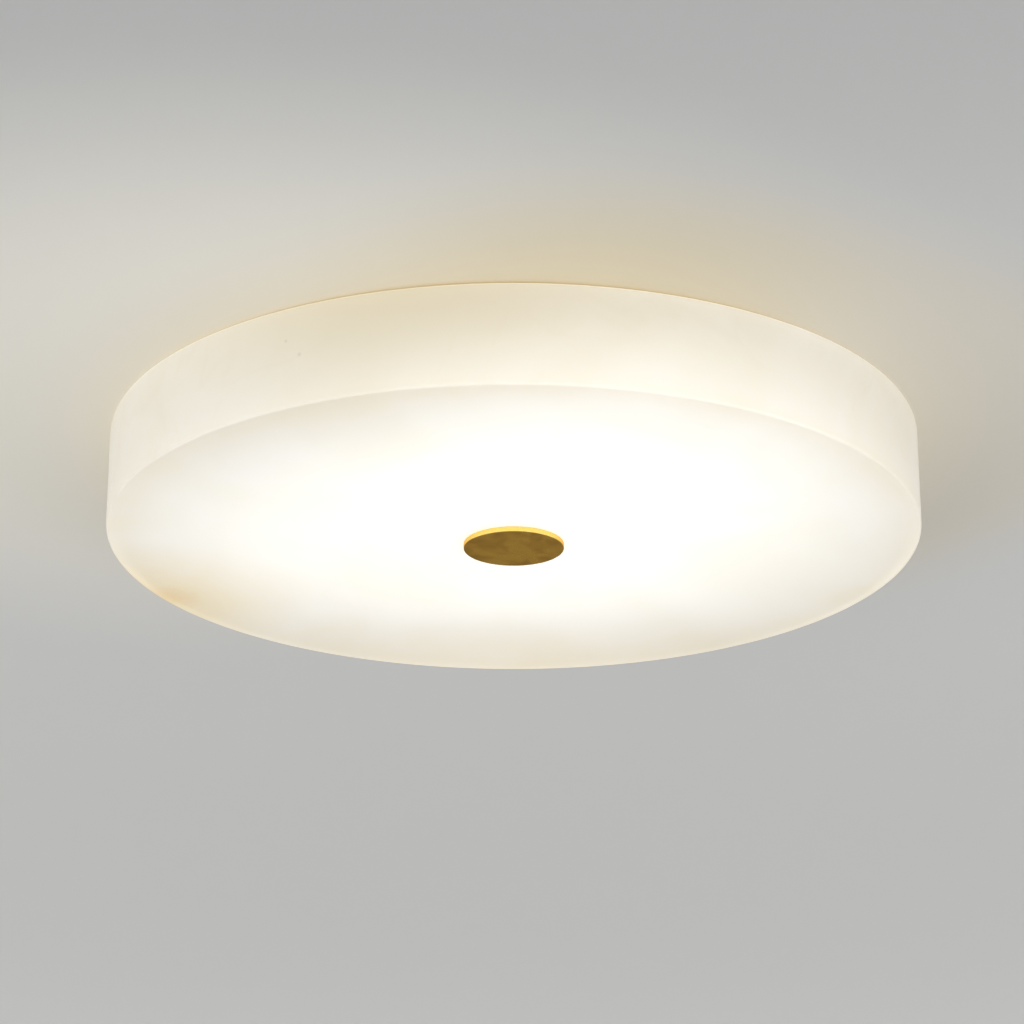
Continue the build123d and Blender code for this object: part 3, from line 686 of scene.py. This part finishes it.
def make_chips():
    """The lamps on each board: white packages with a sunk phosphor window, in rows along the board's arcs."""
    high = CHIP_SIZE[2]
    size = Matrix.Diagonal((*CHIP_SIZE, 1))
    window_edge = 0.42 * MM
    window_deep = 0.12 * MM
    for number in range(1, 5):
        middle = radians(90 * number - 45)
        mesh = bmesh.new()
        for row in CHIP_ROWS:
            half_span = pi / 4 - asin(CHIP_FROM_END / row)
            steps = int(2 * half_span * row / CHIP_SPACING)
            for step in range(steps + 1):
                turn = middle - half_span + 2 * half_span * step / steps
                spot = Matrix.Translation((row * cos(turn), row * sin(turn), BOARD_UNDER - high / 2))
                bmesh.ops.create_cube(mesh, size=1, matrix=spot @ Matrix.Rotation(turn, 4, "Z") @ size)
        mesh.normal_update()
        windows = [face for face in mesh.faces if face.normal.z < -0.99]
        bmesh.ops.inset_individual(mesh, faces=windows, thickness=window_edge, depth=-window_deep)
        for face in windows:
            face.material_index = 1
        name = f"lamp_row_{number}"
        looks = [PACKAGE, FINISHES["chip_phosphor"]]
        piece(name, mesh, "ceiling_frame", "chip_phosphor", f"led_chips_{number}", looks)


def sink(mesh, faces, way, narrowing):
    """Moves faces along Z by a way as the floor of a recess, which narrows towards it."""
    sunk = bmesh.ops.extrude_face_region(mesh, geom=faces)["geom"]
    floor = [part for part in sunk if isinstance(part, bmesh.types.BMVert)]
    bmesh.ops.translate(mesh, verts=floor, vec=(0, 0, way))
    bmesh.ops.scale(mesh, verts=floor, vec=(narrowing, narrowing, 1))
    bmesh.ops.delete(mesh, geom=[face for face in faces if face.is_valid], context="FACES_ONLY")


def draw_to(mesh, height):
    """Draws the open rim of a bmesh straight to a height and closes it there."""
    rim = [edge for edge in mesh.edges if edge.is_boundary]
    for part in bmesh.ops.extrude_edge_only(mesh, edges=rim)["geom"]:
        if isinstance(part, bmesh.types.BMVert):
            part.co.z = height
    bmesh.ops.holes_fill(mesh, edges=[edge for edge in mesh.edges if edge.is_boundary], sides=0)
    bmesh.ops.recalc_face_normals(mesh, faces=mesh.faces)


def pan_head_screw(length):
    """Bmesh of a pan-head screw that stands on its head: a dome with a cross recess below its seat at
    height 0, and a threaded shank above."""
    mesh = bmesh.new()
    bmesh.ops.create_grid(mesh, x_segments=5, y_segments=5, size=1)
    # The grid's lines, moved to the sides and the ends of the recess's arms, with its outline on a circle
    moved = {0.2: 0.15, 0.6: 0.58, 1.0: 1.0}
    dome = 0.30
    recess_deep = 1.0 * MM
    recess_taper = 0.8
    into_head = 0.2 * MM
    for vert in mesh.verts:
        x, y = (moved[round(abs(value), 1)] * (1 if value > 0 else -1) for value in vert.co.xy)
        on_rim = max(abs(x), abs(y)) > 0.99
        reach = (x * x + y * y) ** 0.5 if on_rim else 1.0
        x, y = x / reach, y / reach
        drop = 1 - dome * (x * x + y * y)
        vert.co = (x * SCREW_HEAD_R, y * SCREW_HEAD_R, -drop * SCREW_HEAD_HIGH)
    arms = []
    for face in mesh.faces:
        x, y = (abs(value) / SCREW_HEAD_R for value in face.calc_center_median().xy)
        if min(x, y) < 0.1 and max(x, y) < 0.5:
            arms.append(face)
    sink(mesh, arms, recess_deep, recess_taper)
    draw_to(mesh, 0)
    return joined(mesh, threaded_bar(SCREW_R, SCREW_PITCH, -into_head, length, 12))


def make_screws():
    """The boards' screws, with their heads down, and the terminal strip's, with its head up."""
    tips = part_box("board_screws")[1].z
    board_screw = pan_head_screw(tips - BOARD_UNDER)
    bmesh.ops.translate(board_screw, verts=board_screw.verts, vec=(0, 0, BOARD_UNDER))
    places = []
    for number in range(4):
        for reach, aside in BOARD_SCREWS:
            turn = 90 * number + 45 + aside
            driven = 0.7 * len(places)
            places.append((*around(reach, turn), radians(turn) + driven))
    screws = copies(board_screw, places)
    piece("pan_head_screws", screws, "ceiling_frame", "zinc_steel", "board_screws")

    low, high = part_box("terminal_fixing_screw")
    middle = (low + high) / 2
    seat = high.z - SCREW_HEAD_HIGH
    fixing = pan_head_screw(seat - low.z)
    bmesh.ops.rotate(fixing, verts=fixing.verts, cent=(0, 0, 0), matrix=Matrix.Rotation(pi, 3, "X"))
    bmesh.ops.translate(fixing, verts=fixing.verts, vec=(0, 0, seat))
    driven = 0.4
    fixing = copies(fixing, [(middle.x, middle.y, driven)])
    piece("strip_screw", fixing, "ceiling_frame", "zinc_steel", "terminal_fixing_screw")


def make_clamp_screws():
    """The terminal strip's headless screws, each with a slot across its top."""
    low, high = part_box("terminal_screws")
    half_slot = 0.35 * MM
    slot_deep = 0.8 * MM
    mesh = bmesh.new()
    top = Matrix.Translation((0, 0, high.z))
    bmesh.ops.create_circle(mesh, cap_ends=True, segments=24, radius=SCREW_R, matrix=top)
    for side in (-half_slot, half_slot):
        everything = mesh.verts[:] + mesh.edges[:] + mesh.faces[:]
        bmesh.ops.bisect_plane(mesh, geom=everything, plane_co=(side, 0, 0), plane_no=(1, 0, 0))
    slot = [face for face in mesh.faces if abs(face.calc_center_median().x) < 0.5 * half_slot]
    sink(mesh, slot, -slot_deep, 1.0)
    draw_to(mesh, low.z)
    places = []
    for x in (low.x + SCREW_R, high.x - SCREW_R):
        for y in (low.y + SCREW_R, (low.y + high.y) / 2, high.y - SCREW_R):
            driven = 0.3 + 0.8 * len(places)
            places.append((x, y, driven))
    screws = copies(mesh, places)
    piece("slotted_screws", screws, "ceiling_frame", "zinc_steel", "terminal_screws")


def make_studs():
    """The threaded studs: two with flanges under the crossbar, two for the driver, one for the earth lug."""
    names = {
        "bracket_studs": "crossbar_studs",
        "driver_studs": "driver_stud_pair",
        "earth_stud": "earth_stud_bar",
    }
    flange_ease = 0.2 * MM
    for node, name in names.items():
        low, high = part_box(node)
        reach = (high.y - low.y) / 2
        mesh = threaded_bar(STUD_R, STUD_PITCH, low.z, high.z, 16)
        if reach > STUD_R + 0.1 * MM:
            under = high.z - STUD_FLANGE_THICK
            flange = spun([(0, under), (reach, under), (reach, high.z), (0, high.z)], 48)
            round_rim(flange, reach, under, flange_ease, 2)
            mesh = joined(mesh, flange)
        across = {round(low.x + reach, 5), round(high.x - reach, 5)}
        studs = copies(mesh, [(x, (low.y + high.y) / 2, 0) for x in sorted(across)])
        piece(name, studs, "ceiling_frame", "zinc_steel", node)


def make_plugs():
    """The boards' two-pole plugs: a chamfered body with a nose round its leads and a raised latch below."""
    high = PLUG_SIZE[2]
    chamfer = 0.8 * MM
    nose_edge = 0.55 * MM
    nose_long = 0.7 * MM
    latch_edge = 1.3 * MM
    latch_taper = 0.15 * MM
    latch_high = 0.5 * MM
    ease = 0.12 * MM
    mesh = bmesh.new()
    spot = Matrix.Translation((0, 0, BOARD_UNDER - high / 2))
    bmesh.ops.create_cube(mesh, size=1, matrix=spot @ Matrix.Diagonal((*PLUG_SIZE, 1)))
    mesh.normal_update()
    low_ends = []
    for edge in mesh.edges:
        first, second = (end.co for end in edge.verts)
        if max(first.z, second.z) < BOARD_UNDER - 0.5 * high and abs(first.x - second.x) < 0.1 * MM:
            low_ends.append(edge)
    bevel(mesh, low_ends, chamfer, 1)
    mesh.normal_update()
    nose = [face for face in mesh.faces if face.normal.x > 0.99]
    bmesh.ops.inset_region(mesh, faces=nose, thickness=nose_edge, depth=nose_long)
    latch = [face for face in mesh.faces if face.normal.z < -0.99]
    bmesh.ops.inset_region(mesh, faces=latch, thickness=latch_edge)
    bmesh.ops.inset_region(mesh, faces=latch, thickness=latch_taper, depth=latch_high)
    mesh.normal_update()
    sharp = [edge for edge in mesh.edges if edge.calc_face_angle(0) > radians(40)]
    bevel(mesh, sharp, ease, 2)
    bmesh.ops.recalc_face_normals(mesh, faces=mesh.faces)
    # One plug where the output leads arrive, and one on each side of the other gaps between boards
    places = [(PLUG_OUT, PLUG_ASIDE, pi)]
    for gap in (90, 180, 270):
        turn = radians(gap)
        for side in (-1, 1):
            x = PLUG_OUT * cos(turn) - side * PLUG_ASIDE * sin(turn)
            y = PLUG_OUT * sin(turn) + side * PLUG_ASIDE * cos(turn)
            places.append((x, y, turn - side * pi / 2))
    plugs = copies(mesh, places)
    piece("two_pole_plugs", plugs, "ceiling_frame", "nylon_white", "board_connectors")


make_shade()
make_finial()
make_rod()
make_chips()
make_screws()
make_clamp_screws()
make_studs()
make_plugs()


# Stage, light and camera


def stage(name, inner_r, outer_r, height, faces_down, material):
    """Flat round sheet with a hole at its middle."""
    mesh = bmesh.new()
    ends = [mesh.verts.new((radius, 0, height)) for radius in (inner_r, outer_r)]
    edge = mesh.edges.new(ends)
    bmesh.ops.spin(
        mesh, geom=[*ends, edge], axis=(0, 0, 1), cent=(0, 0, 0), angle=2 * pi, steps=128, use_merge=True
    )
    bmesh.ops.remove_doubles(mesh, verts=mesh.verts, dist=0.01 * MM)
    bmesh.ops.recalc_face_normals(mesh, faces=mesh.faces)
    if (mesh.faces[:][0].normal.z < 0) != faces_down:
        bmesh.ops.reverse_faces(mesh, faces=mesh.faces)
    sheet = put(name, mesh, [material])


def ceiling_paint():
    """Matt white emulsion with painted light, a warm pool round the light and shade towards the camera's
    side;
    open from above, so that the pan shows.
    """
    material, tree, shader, place = finish("ceiling_emulsion")
    # Painted shade: the paint is darker towards the camera's side and lighter from the light onwards
    depth = add(tree, "SeparateXYZ", {0: place})["Y"]
    near = add(tree, "MapRange", {"Value": depth, 1: -0.75, 2: -0.05}, interpolation_type="SMOOTHSTEP")[0]
    colour = add(tree, "Mix", {0: near, 6: linear("#C0C0BE"), 7: linear("#DEDDDA")}, data_type="RGBA")[2]
    # Light on the paint, one patch over another: middle, where it ends and is full, its share and its colour
    patches = (
        ((-0.15, -0.06, 0.0), 0.50, 0.18, 1.0, "#F3EFE4"),
        ((0.06, -0.02, 0.0), 0.37, 0.26, 0.35, "#E9DABA"),
        ((0.05, -0.24, 0.0), 0.19, 0.02, 0.5, "#DFCFA8"),
    )
    for middle, end, full, share, warm in patches:
        away = add(tree, "VectorMath", {0: place, 1: middle}, operation="DISTANCE")["Value"]
        lit_range = {"Value": away, 1: end, 2: full, 3: 0.0, 4: share}
        lit = add(tree, "MapRange", lit_range, interpolation_type="SMOOTHSTEP")[0]
        colour = add(tree, "Mix", {0: lit, 6: colour, 7: linear(warm)}, data_type="RGBA")[2]
    tree.links.new(colour, shader["Base Color"])
    shader["Roughness"].default_value = 0.9
    shader["Specular IOR Level"].default_value = 0.1
    from_above = add(tree, "NewGeometry")["Backfacing"]
    clear = add(tree, "BsdfTransparent")[0]
    solid = tree.nodes["Principled BSDF"].outputs[0]
    shown = add(tree, "MixShader", {0: from_above, 1: solid, 2: clear})[0]
    tree.links.new(shown, tree.nodes["Material Output"].inputs["Surface"])
    return material


def floor_paint():
    """Pale matt floor."""
    material, tree, shader, place = finish("pale_floor")
    patch = add(tree, "TexNoise", {"Vector": place, "Scale": per(700), "Detail": 3.0})["Fac"]
    colour = add(tree, "Mix", {0: patch, 6: linear("#D8D9D9"), 7: linear("#DEDFDF")}, data_type="RGBA")[2]
    tree.links.new(colour, shader["Base Color"])
    shader["Roughness"].default_value = 0.8
    return material


def soft_light():
    """Even light from all round, dimmer beyond the light than on the camera's side."""
    world = bpy.data.worlds.new("soft_light")
    world.use_nodes = True
    tree = world.node_tree
    way = add(tree, "SeparateXYZ", {0: add(tree, "TexCoord")["Generated"]})
    beyond = add(tree, "MapRange", {"Value": way["Y"], 1: -0.1, 2: 0.6}, interpolation_type="SMOOTHSTEP")[0]
    colour = add(tree, "Mix", {0: beyond, 6: linear("#F8F9FB"), 7: linear("#878889")}, data_type="RGBA")[2]
    tree.links.new(colour, tree.nodes["Background"].inputs["Color"])
    tree.nodes["Background"].inputs["Strength"].default_value = 1.4
    bpy.context.scene.world = world


def photo_camera():
    """Camera below the light, looking up at it."""
    lens = bpy.data.cameras.new("camera")
    lens.sensor_width = CAMERA_SENSOR
    lens.lens = CAMERA_LENS
    camera = bpy.data.objects.new("camera", lens)
    camera.location = CAMERA_PLACE
    camera.rotation_euler = (radians(90 + CAMERA_TILT), 0, 0)
    bpy.context.scene.collection.objects.link(camera)
    bpy.context.scene.camera = camera


stage("ceiling", CEILING_HOLE_R, CEILING_R, CEILING_HEIGHT, True, ceiling_paint())
stage("floor", FLOOR_HOLE_R, FLOOR_R, FLOOR_HEIGHT, False, floor_paint())
soft_light()
photo_camera()
bpy.context.scene.view_settings.view_transform = "Standard"
